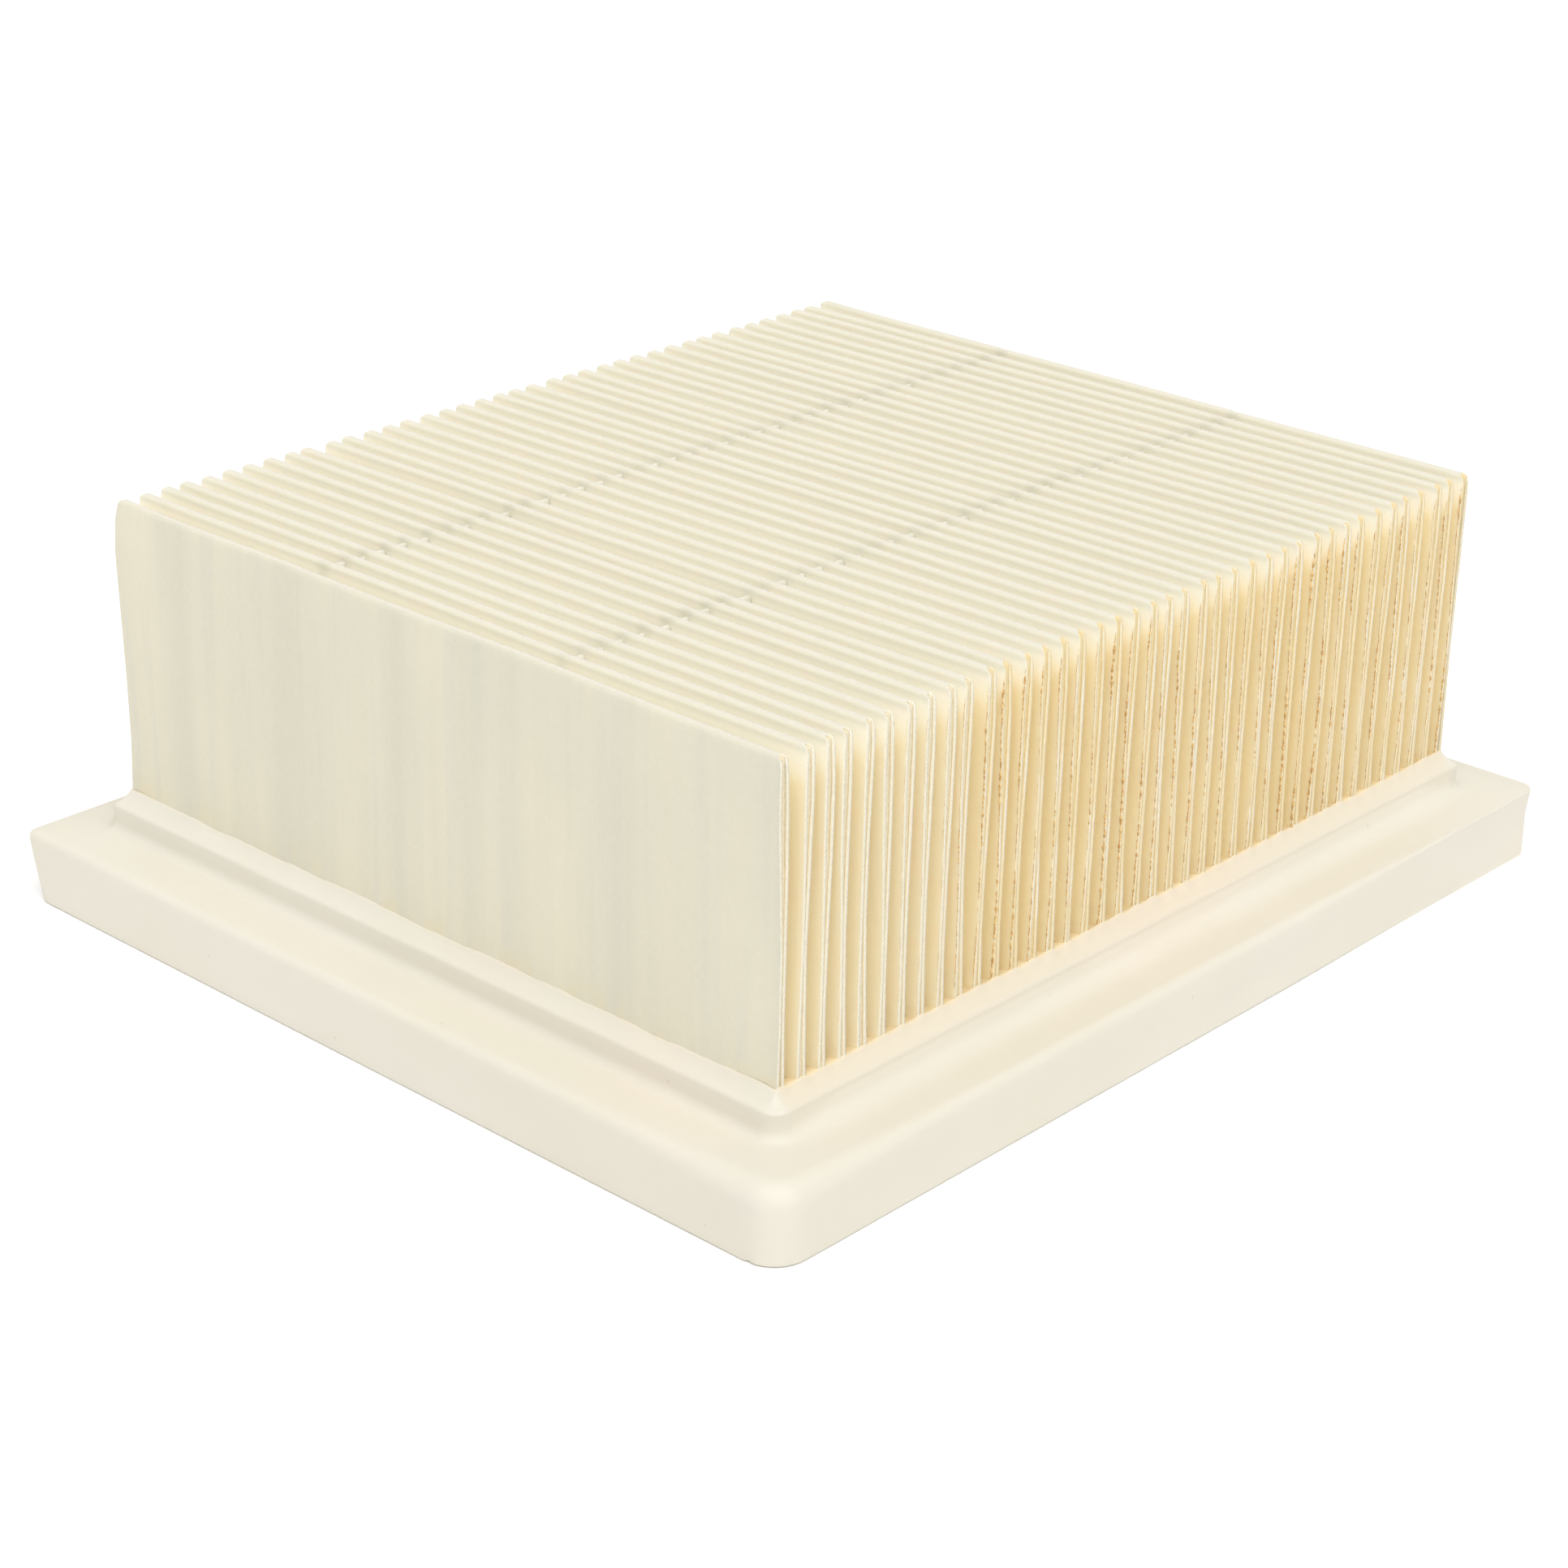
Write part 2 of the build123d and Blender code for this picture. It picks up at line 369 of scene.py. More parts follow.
def edge_seam_piece(name, end, material):
    """The glue in the ends of the pockets: upright strips, each a closed tube of four corners.

    A strip's outer face is set back from the cut edges by a wavering amount, and it fills the
    space between the two layers. Its rings climb from the frame to just under the crest.
    """
    crown = CREST - PAPER / 2 - CREST_RADIUS
    over = np.linspace(0.15, 0.92, 4)
    climb = np.linspace(SEAT + 0.4, crown, 34)
    heights = np.concatenate([climb, crown + (CREST_RADIUS - PAPER / 2) * over])
    shrink = np.concatenate([np.ones_like(climb), np.sqrt(1 - over ** 2)])[:, None]
    points, faces, soak = [], [], []
    for pleat in range(PLEATS):
        waver = slow_noise(100 + pleat + 50 * (end > 0), 5, 20, 3)(heights)
        setback = (0.2 + 0.09 * waver) * smooth((CREST - 0.9 - heights) / 2.2) + 0.05
        x_out = sheet_x(np.full(len(heights), float(end)), np.array(pleat), heights) * end - setback
        x_in = x_out - SEAM_DEPTH
        x = np.stack([x_out, x_out, x_in, x_in], -1) * end
        z = np.repeat(heights[:, None], 4, 1)
        reach = (half_gap(pleat, x, z) - PAPER / 2) * shrink + 0.05
        sign = np.array([-1, 1, 1, -1]) * end
        y = middle(pleat, x, z) + sign * reach
        ring = np.stack([x, y, z], -1)
        faces += tube_faces(len(heights), 4, 4 * len(heights) * pleat)
        points.append(ring.reshape(-1, 3))
        soak.append(np.full(ring.size // 3, pleat_glue(np.array(pleat))))
    count = sum(len(p) for p in points)
    squeeze, squeeze_faces = squeezed_glue(end, count)
    points.append(squeeze)
    soak.append(np.full(len(squeeze), 2.0))
    return new_piece(name, np.concatenate(points), faces + squeeze_faces, [material],
                     values={"glue_soak": np.concatenate(soak)})


def squeezed_glue(end, first):
    """Rough threads of glue that have oozed out along the near edge of each glued pleat.

    Each is a tube of six corners about the corner of the near layer. Its radius is a patchy slow
    noise with a fast one on it, times a share that changes from pleat to pleat.
    """
    heights = np.linspace(FREE_FROM - 1, CREST - 2.2, 240)
    angle = np.linspace(0, 2 * np.pi, STRAND_SIDES, endpoint=False)
    points, faces = [], []
    for pleat in range(BARE_PLEATS - 3, PLEATS):
        seed = 400 + pleat + 60 * (end > 0)
        fast = slow_noise(seed, 7, 2.4, 0.5)(heights)
        patch = smooth(0.62 + 1.2 * slow_noise(seed + 500, 3, 50, 15)(heights))
        radius = (0.08 + 0.09 * patch + 0.15 * fast * patch) * float(pleat_glue(np.array(pleat)))
        radius = radius * (0.70 + 0.60 * smooth(0.5 + 0.9 * slow_noise(77, 4, 9, 2.2)(pleat)))
        radius = np.clip(radius, 0.02, 0.34) * smooth((CREST - 2.0 - heights) / 3)
        radius = np.maximum(radius, 0.012)
        x_mid = (HALF_FOLD + Pack.cut[int(end > 0), pleat] - 0.10) * end
        x_mid = x_mid + 0.05 * slow_noise(seed + 900, 5, 9, 1)(heights)
        y_mid = middle(pleat, x_mid, heights) - half_gap(pleat, x_mid, heights) - PAPER / 2
        y_mid = y_mid + 0.07 * slow_noise(seed + 300, 6, 10, 1.2)(heights)
        x = x_mid[:, None] + radius[:, None] * np.cos(angle) * 0.8
        y = y_mid[:, None] + radius[:, None] * np.sin(angle)
        z = np.repeat(heights[:, None], len(angle), 1)
        points.append(np.stack([x, y, z], -1).reshape(-1, 3))
        faces += tube_faces(len(heights), len(angle), first)
        first += len(heights) * len(angle)
    return np.concatenate(points), faces


def bead_strips(name, line, material, between):
    """One line of hot-melt beads, each an upright strip that bridges two layers of paper.

    The plan is a waisted rectangle: its sides draw in halfway across by a cosine. The top is
    rounded over. between picks the gap beads, one for every two neighbours, or the pocket beads.
    """
    count = PLEATS - 1 if between else PLEATS
    width = 1.5 if between else 2.0
    top = CREST - (1.15 if between else 2.2)
    foot = (VALLEY_CENTRE if between else SEAT) + 2.0
    crown = top - 1.0
    rise = np.sin(np.linspace(0.25, 1, CROWN_RINGS) * np.pi / 2)
    climb = np.concatenate([np.linspace(foot, crown, BODY_RINGS), crown + rise])
    taper = np.cos(np.linspace(0.25, 0.97, CROWN_RINGS) * np.pi / 2)
    narrow = np.concatenate([np.ones(BODY_RINGS), taper])
    across = np.linspace(-1, 1, 5)
    flank = 1 - BEAD_WAIST * np.cos(across * np.pi / 2)
    plan_x = np.concatenate([flank, -flank])
    plan_y = np.concatenate([across, across[::-1]])
    points, faces = [], []
    for pleat in range(count):
        wander = 0.22 * slow_noise(700 + pleat, 3, 60, 20)(climb) + rng.normal(0, 0.16)
        drop = rng.uniform(0, 0.5) + (3.5 if between and pleat < 1 else 0)
        z = np.repeat((climb - drop)[:, None], len(plan_x), 1)
        x = line + wander[:, None] + plan_x * width / 2 * (0.25 + 0.75 * narrow[:, None])
        if between:
            near = middle(pleat, x, z) + half_gap(pleat, x, z) + PAPER / 2 - 0.08
            far = middle(pleat + 1, x, z) - half_gap(pleat + 1, x, z) - PAPER / 2 + 0.08
        else:
            near = middle(pleat, x, z) - half_gap(pleat, x, z) + PAPER / 2 - 0.08
            far = middle(pleat, x, z) + half_gap(pleat, x, z) - PAPER / 2 + 0.08
        y = near + (far - near) * (plan_y + 1) / 2
        points.append(np.stack([x, y, z], -1).reshape(-1, 3))
        faces += tube_faces(len(climb), len(plan_x), len(plan_x) * len(climb) * pleat)
    return new_piece(name, np.concatenate(points), faces, [material])


# ---------------------------------------------------------------- the cast frame

CORNER_STEPS = 17
SIDE_STEPS = 300
CORNER_SIGNS = np.array([(1, -1), (1, 1), (-1, 1), (-1, -1)])      # near, right, back, left


def rounded_ring(half_x, half_y, radii):
    """Points round a rectangle with four corner radii, anticlockwise, and their outward normals.

    Each corner is a quarter circle about its own centre, and straight sides join the corners.
    """
    radii = np.maximum(np.broadcast_to(radii, 4), 0.05)
    starts = np.radians([-90, 0, 90, 180])
    along = np.linspace(0, 1, SIDE_STEPS + 2)[1:-1, None]
    corners, normals = [], []
    for start, radius, (sx, sy) in zip(starts, radii, CORNER_SIGNS):
        angle = start + np.linspace(0, np.pi / 2, CORNER_STEPS)
        normal = np.stack([np.cos(angle), np.sin(angle)], -1)
        corners.append(np.array([sx * (half_x - radius), sy * (half_y - radius)]) + radius * normal)
        normals += [normal, np.repeat(normal[-1:], SIDE_STEPS, 0)]
    ring = []
    for k, corner in enumerate(corners):
        ring += [corner, corner[-1] * (1 - along) + corners[(k + 1) % 4][0] * along]
    return np.concatenate(ring), np.concatenate(normals)


class Row:
    """One row of the casting's section, which is carried round the pack as a ring.

    out is measured outward from the pack's side, along X and along Y. wave is the row's share of
    the skin's slow unevenness and climb its share of the wavering line where the casting wets the
    paper. edge and root are places on two rounds, from 0 to 1: the ledge's outer edge and the
    collar's foot, whose radii change round the frame. under is the wall beneath the flash lip.
    """

    def __init__(self, out_x, out_y, z, radii, wave=0.3, climb=0.0, edge=None, root=None, under=0.0):
        self.out = np.array([out_x, out_y])
        self.z, self.radii, self.wave, self.climb = z, np.asarray(radii, float), wave, climb
        self.edge, self.root, self.under = edge, root, under


def frame_section():
    """The casting's section, up the outside, over the ledge and collar, and down inside."""
    def outer(inset, z, radii, **more):
        return Row(LEDGE_SIDE - inset, LEDGE_END - inset, z, radii, **more)

    def beside(out, z, radii, wave=0.3, climb=0.0, root=None):
        return Row(out, out, z, radii, wave, climb, root=root)

    foot = np.array([6.5, 1.8, 5.0, 5.0])
    brow = np.array([6.3, 3.2, 5.0, 1.7])
    collar = np.array([3.8, 1.6, 2.4, 1.5])
    quarter = np.linspace(0, 1, 7)
    overlap = -SEAT_OVERLAP
    rows = [beside(overlap, 4.2, 2.0, 0.1), beside(overlap, 0.9, 2.0, 0.1),
            beside(overlap + 0.25, 0.3, 2.0, 0.1), beside(overlap + 0.9, 0.0, 2.0, 0.1),
            outer(7.0, 0.0, foot - 2, wave=0.0)]
    for t in quarter * np.pi / 2:
        rows.append(outer(0.3 + FOOT_ROUND * (1 - math.sin(t)), FOOT_ROUND * (1 - math.cos(t)), foot,
                          wave=0.3 * math.sin(t), under=math.sin(t)))
    for t in (0.1, 0.25, 0.45, 0.6, 0.72):
        z = FOOT_ROUND + t * (LEDGE - 2.7)
        rows.append(outer(0.3 - 0.25 * t, z, foot + (brow - foot) * t, wave=0.5,
                          under=float(smooth((13.4 - z) / 1.6))))
    for t in quarter:
        rows.append(outer(0.05, LEDGE, brow, edge=t, under=0.35 * (1 - t)))
    for inset in (4.6, 5.9):
        rows.append(outer(inset, LEDGE - 0.02, np.maximum(brow - 0.5 * inset, 1.2), wave=0.5))
    for t in quarter:
        rows.append(beside(COLLAR_WALL, LEDGE - 0.02, collar, root=t))
    rows.append(beside(COLLAR_WALL - 0.06, COLLAR_SHOULDER - 0.7, collar, 0.3, 0.1))
    for t in quarter[:-1] * np.pi / 2:
        out = COLLAR_WALL - 0.1 - SHOULDER_ROUND * (1 - math.cos(t))
        z = COLLAR_SHOULDER + SHOULDER_ROUND * math.sin(t)
        rows.append(beside(out, z, collar - 0.5, 0.3, 0.2))
    for out, z, climb in ((1.5, 19.65, 0.4), (1.05, 20.1, 0.6), (0.65, 20.6, 0.8), (0.35, 21.05, 1.0),
                          (0.15, 21.45, 1.0), (-0.1, 21.7, 1.0)):
        rows.append(beside(out, z, collar * max(out, 0.1) / 3, 0.2, climb))
    for side, end, z in ((-0.5, -0.3, 21.4), (-1.6, -0.5, 21.15), (-3.2, -0.6, 21.0), (-3.2, -0.6, 8.0),
                         (-3.4, -3.4, SEAT - 0.02), (overlap, overlap, SEAT - 0.05)):
        rows.append(Row(side, end, z, 0.1, 0.0, 0.3 if z > 21 else 0.0))
    return rows


def flash(x, y):
    """How far the flash lip stands out, from 0 to 1: full at the right corner, gone by mid-side."""
    side = smooth((y - 20) / 70) * smooth((x - HALF_FOLD) / 6)
    back = smooth((x - 10) / 70) * smooth((y - HALF_DEPTH) / 6)
    return np.maximum(side, back)


def cast_frame(material):
    """The casting: its section carried round the pack, one rounded ring for each row.

    Every ring takes a little slow unevenness. The ledge's edge is rounder by the near corner, the
    collar's foot is softer along the folds' ends, the wetting line wavers, and the wall draws in
    beneath a thin flash lip about the right corner. A burst bubble leaves a notch in the foot.
    """
    rings = []
    for row in frame_section():
        ring, outward = rounded_ring(HALF_FOLD + row.out[0], HALF_DEPTH + row.out[1], row.radii)
        x, y = ring.T
        side = np.abs(outward[:, 0])
        near_corner = bump(np.hypot(x - RIM_HIGH[0], y + RIM_HIGH[1]), 0, 28)
        out, z = np.zeros(len(ring)), np.full(len(ring), float(row.z))
        if row.edge is not None:
            radius = 1.7 + 2.0 * near_corner - 1.2 * flash(x, y)
            out -= radius * (1 - math.cos(row.edge * math.pi / 2))
            z -= radius * (1 - math.sin(row.edge * math.pi / 2))
        if row.root is not None:
            radius = 2.0 + 1.6 * smooth(side) * smooth((HALF_DEPTH + 4 - np.abs(y)) / 16)
            out += radius * (1 - math.sin(row.root * math.pi / 2))
            z += radius * (1 - math.cos(row.root * math.pi / 2))
        out -= 0.8 * row.under * flash(x, y)
        trip = x * 1.03 + y * 0.97
        around = np.arctan2(y / HALF_DEPTH, x / HALF_FOLD) * 110
        out += slow_noise(31, 5, 120, 24)(trip) * 0.10 * row.wave
        z += slow_noise(37, 5, 90, 18)(around) * 0.16 * row.wave * smooth((z - 9) / 4)
        scallop = 0.22 * np.cos(2 * np.pi * (y + HALF_DEPTH - POCKET / 2) / PITCH) * (side > 0.9)
        z += (slow_noise(41, 9, 40, 1.7)(trip) * 0.36 - 0.12 + scallop) * row.climb ** 3
        from_notch = np.hypot(x - RIM_HIGH[0] + 6.2, y + RIM_HIGH[1] - 0.9)
        out -= 0.8 * bump(from_notch, 0, 0.55) * (row.z < FOOT_ROUND + 0.4)
        rings.append(np.column_stack([ring + outward * out[:, None], z]))
    points = np.clip(np.concatenate(rings), RIM_LOW, RIM_HIGH)
    faces = grid_faces(len(rings), len(rings[0]), wrap_rows=True, wrap_columns=True)[:, ::-1]
    return new_piece("cast_seal_frame", points, faces.tolist(), [material])


# ---------------------------------------------------------------- shader maths

class Value:
    """A number that changes over a surface. Sums and products of values add Math nodes."""

    def __init__(self, maker, socket):
        self.maker, self.socket = maker, socket

    def math(self, operation, *others):
        return self.maker.node("ShaderNodeMath", {"operation": operation}, (self, *others))

    def __add__(self, other):
        return self.math("ADD", other)

    def __mul__(self, other):
        return self.math("MULTIPLY", other)

    def __sub__(self, other):
        return self.math("SUBTRACT", other)

    def __rsub__(self, other):
        return self.maker.node("ShaderNodeMath", {"operation": "SUBTRACT"}, (other, self))

    __radd__, __rmul__ = __add__, __mul__

    def size(self):
        return self.math("ABSOLUTE")

    def step(self, low, high):
        """Smooth step from 0 at low to 1 at high."""
        return self.maker.node("ShaderNodeMapRange", {"interpolation_type": "SMOOTHSTEP"},
                               {"Value": self, "From Min": low, "From Max": high})


class Finish:
    """One material: its nodes, and the shader that they feed."""

    def __init__(self, name, **constants):
        self.material = bpy.data.materials.new(name)
        self.material.use_nodes = True
        self.tree = self.material.node_tree
        self.shader = self.tree.nodes["Principled BSDF"]
        for key, value in constants.items():
            self.shader.inputs[key.replace("_", " ")].default_value = value
        self.place = self.node("ShaderNodeTexCoord", output="Object")
        self.x = self.part(self.place, "X") * 1000
        self.y = self.part(self.place, "Y") * 1000
        self.z = self.part(self.place, "Z") * 1000

    def node(self, kind, settings=None, inputs=None, output=0):
        """Any node: its settings first, then its sockets' values or links. Returns one output."""
        made = self.tree.nodes.new(kind)
        for key, value in (settings or {}).items():
            setattr(made, key, value)
        pairs = inputs.items() if isinstance(inputs, dict) else enumerate(inputs or ())
        for key, value in pairs:
            if isinstance(value, Value):
                self.tree.links.new(value.socket, made.inputs[key])
            else:
                made.inputs[key].default_value = value
        return Value(self, made.outputs[output])

    def part(self, vector, axis):
        return self.node("ShaderNodeSeparateXYZ", None, {"Vector": vector}, axis)

    def attribute(self, name):
        return self.node("ShaderNodeAttribute", {"attribute_name": name}, None, "Fac")

    def noise(self, scale, detail=2.0, stretch=(1, 1, 1), rough=0.5):
        """Noise from 0 to 1 over the piece. scale is in cells for each metre."""
        where = self.node("ShaderNodeMapping", None, {"Vector": self.place, "Scale": stretch})
        return self.node("ShaderNodeTexNoise", None,
                         {"Vector": where, "Scale": scale, "Detail": detail, "Roughness": rough}, "Fac")

    def mix(self, share, first, second):
        """A colour between two, by a share from 0 to 1. The numbers are the node's colour sockets."""
        return self.node("ShaderNodeMix", {"data_type": "RGBA"}, {0: share, 6: first, 7: second}, 2)

    def feed(self, **sockets):
        """Links values to the shader's sockets."""
        for key, value in sockets.items():
            self.tree.links.new(value.socket, self.shader.inputs[key.replace("_", " ")])

    def bump(self, height, distance, strength=1.0):
        """Feeds a Bump node whose height is in units of distance, in millimetres."""
        normal = self.node("ShaderNodeBump", None,
                           {"Height": height, "Distance": distance * MM, "Strength": strength}, "Normal")
        self.feed(Normal=normal)


def rgb(red, green, blue):
    """A colour from 0 to 255 sRGB numbers, as the shader's linear colour."""
    def linear(c):
        c = c / 255
        return c / 12.92 if c <= 0.04045 else ((c + 0.055) / 1.055) ** 2.4
    return (linear(red), linear(green), linear(blue), 1.0)


# ---------------------------------------------------------------- finishes

def paper_fibres(finish):
    """The felted skin of filter paper: fine fibres over soft clouds, from 0 to 1."""
    fine = finish.noise(2600, 1, (1, 1, 0.7), 0.65)
    felt = finish.noise(900, 2, (1, 1, 0.8), 0.6)
    return fine * 0.45 + felt * 0.55


def filter_paper():
    """Cream filter paper: fibrous and mottled, with soft upright bands and crests painted whiter,
    partly as wear on the folds and partly as a painted highlight.

    Between the pleats it is more golden towards the glued ends, and painted brighter than on the
    outer panels: painted light. Along the bead lines there it is painted greyer, partly glue seen
    through the paper and partly painted shade. A few millimetres below the crests it is painted
    darker and given more of the glow, which together even out the shade there. It passes a little
    of the light that falls on its other side, which is given as a faint painted warm glow,
    strongest a few millimetres below the crests and gone at the crests themselves. The ripple
    bands on the outer panels are painted a little darker: painted shade.
    """
    finish = Finish("filter_paper", Specular_IOR_Level=0.2, Emission_Strength=1.0)
    fibres = paper_fibres(finish)
    clouds = finish.noise(38, 2, (1, 1, 0.6)).step(0.3, 0.7)
    upright = finish.noise(75, 3, (1, 1, 0.035)).step(0.38, 0.66)
    ripple = finish.noise(270, 2, (1, 1, 0.03))
    panel = finish.mix(clouds, rgb(218, 213, 193), rgb(223, 217, 196))
    panel = finish.mix(upright * 0.6, panel, rgb(207, 204, 187))
    # painted shade: the ripple bands, which the bump below also raises, are painted a little darker
    panel = finish.mix(ripple.step(0.5, 0.7) * 0.35, panel, rgb(208, 206, 193))
    blush = finish.noise(210, 1).step(0.5, 0.68)
    # painted light: the paper between the pleats is painted much brighter than the outer panels,
    # standing in for light that comes through the paper into the gaps
    between = finish.mix(clouds, rgb(238, 232, 210), rgb(242, 237, 216))
    between = finish.mix(blush * 0.55, between, rgb(246, 229, 205))
    lines = sum_of([(finish.x - line).size().step(2.6, 0.2) for line in BEAD_LINES])
    # painted shade and light: a few millimetres below the crests the paper between the pleats is painted
    # darker and given a stronger glow, which together even out the shade there
    high = finish.z.step(CREST - 8.0, CREST - 4.0)
    between = finish.mix(high, between, finish.mix(blush * 0.5, rgb(229, 225, 206), rgb(233, 223, 204)))
    # partly the grey glue seen through the paper, partly painted shade where the beads keep light from
    # coming through it
    between = finish.mix(lines * (0.30 + 0.35 * clouds), between, rgb(206, 202, 182))
    soak = finish.attribute("glue_soak")
    end = finish.x.size().step(HALF_FOLD - 9, HALF_FOLD - 2.2)
    end = end * finish.x.size().step(HALF_FOLD + 1.2, HALF_FOLD - 1.6)
    end = end * finish.z.step(CREST - 1.0, CREST - 7.0)
    between = finish.mix(end * (0.45 + 0.45 * soak), between, rgb(238, 220, 172))
    inside = finish.y.size().step(HALF_DEPTH - 0.9, HALF_DEPTH - 1.7)
    crest = finish.attribute("crest").step(0.6, 1.0)
    colour = finish.mix(inside, panel, between)
    # the crests are painted whiter and greyer: partly wear on the folds, partly a painted highlight
    colour = finish.mix(crest, colour, finish.mix(fibres, rgb(216, 211, 196), rgb(226, 221, 207)))
    colour = finish.mix((fibres - 0.35) * 0.35, colour, rgb(240, 235, 216))
    foot = finish.z.step(27.0, 21.0) * blush * 0.35
    colour = finish.mix(foot, colour, rgb(226, 212, 176))
    glow = inside * (1 - crest) * finish.z.step(13.0, 19.0)
    passed = finish.mix(end, (0.055, 0.049, 0.036, 1), (0.085, 0.066, 0.038, 1))
    passed = finish.mix(high, passed, (0.165, 0.157, 0.143, 1))
    passed = finish.mix(finish.z.step(CREST - 2.2, CREST - 0.5), passed, (0, 0, 0, 1))
    finish.feed(Base_Color=colour, Roughness=0.84 + 0.12 * fibres,
                Emission_Color=finish.mix(glow, (0, 0, 0, 1), passed))
    finish.bump(fibres * 0.07 + ripple * 0.16, 1.0, 0.75)
    return finish.material


def sum_of(values):
    """The sum of several values."""
    total = values[0]
    for value in values[1:]:
        total = total + value
    return total


def cut_paper():
    """The paper's cut edge: paler than its face, with loose fibres, stained where glue has soaked."""
    finish = Finish("cut_paper", Specular_IOR_Level=0.25)
    fibres = finish.noise(3200, 1)
    colour = finish.mix(fibres.step(0.3, 0.75), rgb(226, 218, 196), rgb(238, 233, 215))
    soak = finish.attribute("glue_soak")
    stain = soak * finish.noise(260, 1, (1, 1, 0.3)).step(0.25, 0.6)
    colour = finish.mix(stain * 0.85, colour, rgb(230, 209, 160))
    finish.feed(Base_Color=colour, Roughness=0.8 + 0.15 * fibres)
    finish.bump(fibres, 0.1, 0.6)
    return finish.material


def edge_glue():
    """Ochre edge adhesive: pale and set back on bare pleats, brown and crusty where it has oozed."""
    finish = Finish("edge_glue", Specular_IOR_Level=0.35)
    soak = finish.attribute("glue_soak")
    grain = finish.noise(1500, 2)
    pale = finish.mix(grain.step(0.3, 0.7), rgb(222, 208, 176), rgb(230, 218, 188))
    warm = finish.mix(grain.step(0.3, 0.7), rgb(224, 202, 152), rgb(232, 212, 164))
    crust = finish.mix(finish.noise(1500, 2).step(0.35, 0.65), rgb(194, 146, 84), rgb(234, 203, 142))
    colour = finish.mix(soak.step(0.1, 0.9), pale, warm)
    colour = finish.mix(soak.step(1.2, 1.8), colour, crust)
    finish.feed(Base_Color=colour, Roughness=0.5 + 0.35 * grain)
    finish.bump(grain, 0.15, 0.8)
    return finish.material


def hot_melt():
    """Spacer beads: greyish, waxy and slightly clear, with a faint painted glow that stands in for light
    coming through them.
    """
    finish = Finish("hot_melt", Specular_IOR_Level=0.5, Emission_Strength=1.0)
    # painted glow: a faint emission stands in for light passing through the beads
    finish.shader.inputs["Emission Color"].default_value = (0.085, 0.082, 0.070, 1)
    cloud = finish.noise(420, 1)
    colour = finish.mix(cloud.step(0.3, 0.7), rgb(206, 203, 188), rgb(217, 213, 198))
    finish.feed(Base_Color=colour, Roughness=0.32 + 0.2 * cloud)
    finish.bump(cloud, 0.12, 0.5)
    return finish.material


def polyurethane():
    """Ivory cast polyurethane: satin skin, faint warm and cool clouds, small pits painted darker as
    painted shade, and flow marks.

    Beside the ends of the pleats it is painted warmer, and between them warmer and brighter: painted
    light from the paper. In the hollow along the collar's foot it has a faint painted glow that
    stands in for light passing through it and lifts the shade there.
    """
    finish = Finish("cast_polyurethane", Specular_IOR_Level=0.4, Emission_Strength=1.0)
    clouds = finish.noise(26, 2)
    warm = finish.noise(17, 1, (1.3, 0.8, 1.0))
    flow = finish.noise(60, 2, (0.35, 0.35, 1.6))
    grain = finish.noise(1800, 1)
    colour = finish.mix(clouds.step(0.32, 0.68), rgb(223, 218, 205), rgb(221, 216, 201))
    colour = finish.mix(warm.step(0.5, 0.8) * 0.5, colour, rgb(230, 216, 200))
    colour = finish.mix(flow.step(0.5, 0.8) * 0.35, colour, rgb(216, 213, 199))
    pit = finish.node("ShaderNodeTexVoronoi", {"feature": "F1"},
                      {"Vector": finish.place, "Scale": 120.0, "Randomness": 1.0}, "Distance")
    beside_ends = finish.y.size().step(HALF_DEPTH + 0.5, HALF_DEPTH - 1.5)
    # painted light: warmer beside the ends of the pleats, standing in for light thrown from the paper
    near_paper = finish.x.size().step(HALF_FOLD + 5.0, HALF_FOLD + 0.3) * finish.z.step(15.0, 19.0)
    colour = finish.mix(near_paper * beside_ends * 0.45, colour, rgb(226, 209, 180))
    # painted light: brighter and warmer between the pleats' ends, where the casting lies in their shade
    among = finish.x.size().step(HALF_FOLD + 0.4, HALF_FOLD - 0.4) * finish.z.step(17.0, 19.0)
    among = among * beside_ends
    colour = finish.mix(among, colour, rgb(236, 218, 180))
    # painted glow: emission in the hollow along the collar's foot lifts its shade
    hollow = finish.x.size().step(HALF_FOLD + 7.5, HALF_FOLD + 4.0) * finish.z.step(14.0, 15.5)
    hollow = hollow * finish.z.step(19.2, 17.0) * beside_ends
    # painted shade: the pits are painted darker inside
    pits = pit.step(0.05, 0.02)
    colour = finish.mix(pits * 0.4, colour, rgb(196, 190, 172))
    finish.feed(Base_Color=colour, Roughness=0.42 + 0.14 * flow + 0.06 * grain,
                Emission_Color=finish.mix(hollow, (0, 0, 0, 1), (0.045, 0.038, 0.026, 1)))
    finish.bump(grain * 0.012 + flow * 0.08 - pits * 0.10, 1.0, 0.6)
    return finish.material


# ---------------------------------------------------------------- the filter

def stand_for(piece, nodes):
    """Hides the imported parts that a finished piece replaces and hangs the piece on the root body it
    rides on.
    """
    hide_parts(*nodes)
    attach(piece, "root")


def build_filter():
    """Every visible piece of the filter."""
    glue, melt = edge_glue(), hot_melt()
    stand_for(paper_sheet(filter_paper(), cut_paper()), ["pleated_medium"])
    stand_for(cast_frame(polyurethane()), ["seal_frame"])
    for word, end, line in (("left", -1, BEAD_LINES[0]), ("right", 1, BEAD_LINES[1])):
        stand_for(edge_seam_piece(f"{word}_seams", end, glue), [f"{word}_edge_seams"])
        stand_for(bead_strips(f"{word}_gap_melt", line, melt, True), [f"{word}_gap_beads"])
        stand_for(bead_strips(f"{word}_pocket_melt", line, melt, False), [f"{word}_pocket_beads"])


# ---------------------------------------------------------------- floor, light and camera

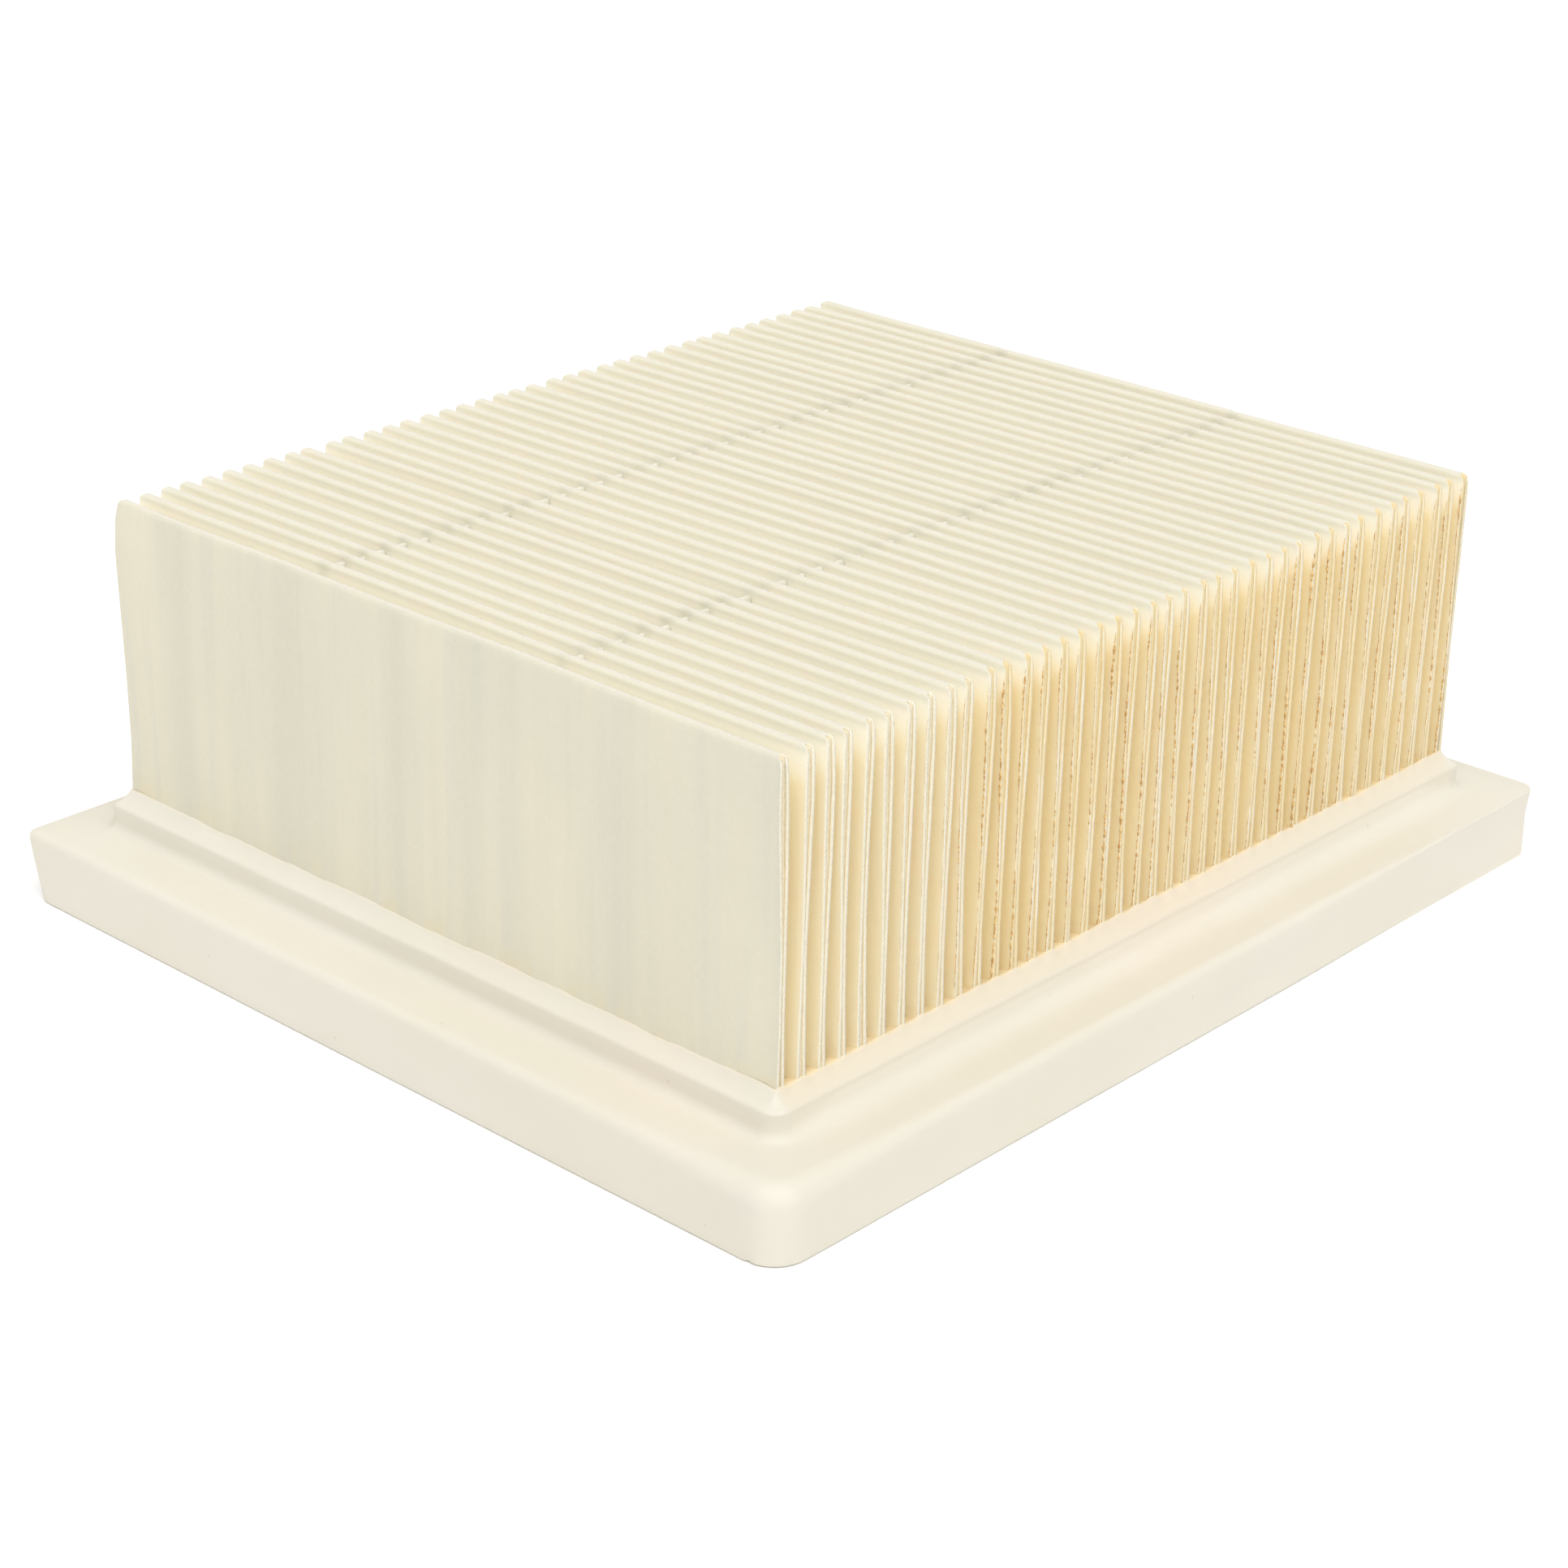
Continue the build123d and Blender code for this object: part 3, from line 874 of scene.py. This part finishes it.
def pale_floor():
    """A plain pale floor under the filter: one wide flat sheet."""
    side = 6000.0
    corners = [(-side, -side, 0), (side, -side, 0), (side, side, 0), (-side, side, 0)]
    finish = Finish("pale_floor", Roughness=0.9, Specular_IOR_Level=0.1)
    tone = finish.noise(3, 2)
    finish.feed(Base_Color=finish.mix(tone, (0.955, 0.955, 0.955, 1), (0.965, 0.965, 0.965, 1)))
    floor = new_piece("floor", corners, [[0, 1, 2, 3]], [finish.material], flat=True)


def sun(name, azimuth, elevation, spread, strength):
    """A wide, even sun that shines down from an azimuth and elevation, all in degrees."""
    toward = direction(math.radians(azimuth), math.radians(elevation))
    data = bpy.data.lights.new(name, "SUN")
    data.angle, data.energy = math.radians(spread), strength
    put(name, data, axes(toward), toward)


def direction(azimuth, elevation):
    """The unit vector towards an azimuth, from -Y towards +X, and an elevation, both in radians."""
    level = math.cos(elevation)
    return np.array([math.sin(azimuth) * level, -math.cos(azimuth) * level, math.sin(elevation)])


def axes(back, roll=0.0):
    """The axes, as columns, of a camera or lamp that looks against back and is turned by roll."""
    right = np.cross([0, 0, 1], back)
    right = right / np.linalg.norm(right)
    up = np.cross(back, right)
    turned = math.cos(roll) * right + math.sin(roll) * up
    above = -math.sin(roll) * right + math.cos(roll) * up
    return np.column_stack([turned, above, back])


def put(name, data, turn, place):
    """Adds a camera or lamp to the scene with these axes at this place."""
    thing = bpy.data.objects.new(name, data)
    matrix = np.eye(4)
    matrix[:3, :3], matrix[:3, 3] = turn, place
    thing.matrix_world = Matrix(matrix.tolist())
    bpy.context.scene.collection.objects.link(thing)
    return thing


def studio():
    """A white sky, a broad key sun from the right and a weaker fill from behind on the left."""
    world = bpy.data.worlds.new("studio")
    bpy.context.scene.world = world
    world.use_nodes = True
    sky = world.node_tree.nodes["Background"]
    sky.inputs["Color"].default_value = (1.0, 1.0, 1.0, 1.0)
    sky.inputs["Strength"].default_value = 0.62
    sun("key", 52, 58, 55, 1.95)
    sun("fill", 230, 50, 80, 0.3)
    bpy.context.scene.view_settings.view_transform = "Standard"


def main_view():
    """The camera: its direction, roll, distance, and how far its axis passes from the origin."""
    azimuth, elevation, roll = (math.radians(a) for a in (42.186, 23.857, 1.216))
    aside, above, distance = -0.00274, 0.01701, 0.6396
    turn = axes(direction(azimuth, elevation), roll)
    data = bpy.data.cameras.new("camera")
    data.lens, data.sensor_width, data.clip_start, data.clip_end = 77.69, 36.0, 0.01, 50.0
    bpy.context.scene.camera = put("camera", data, turn, turn @ [aside, above, distance])


build_filter()
pale_floor()
studio()
main_view()

bpy.context.view_layer.update()
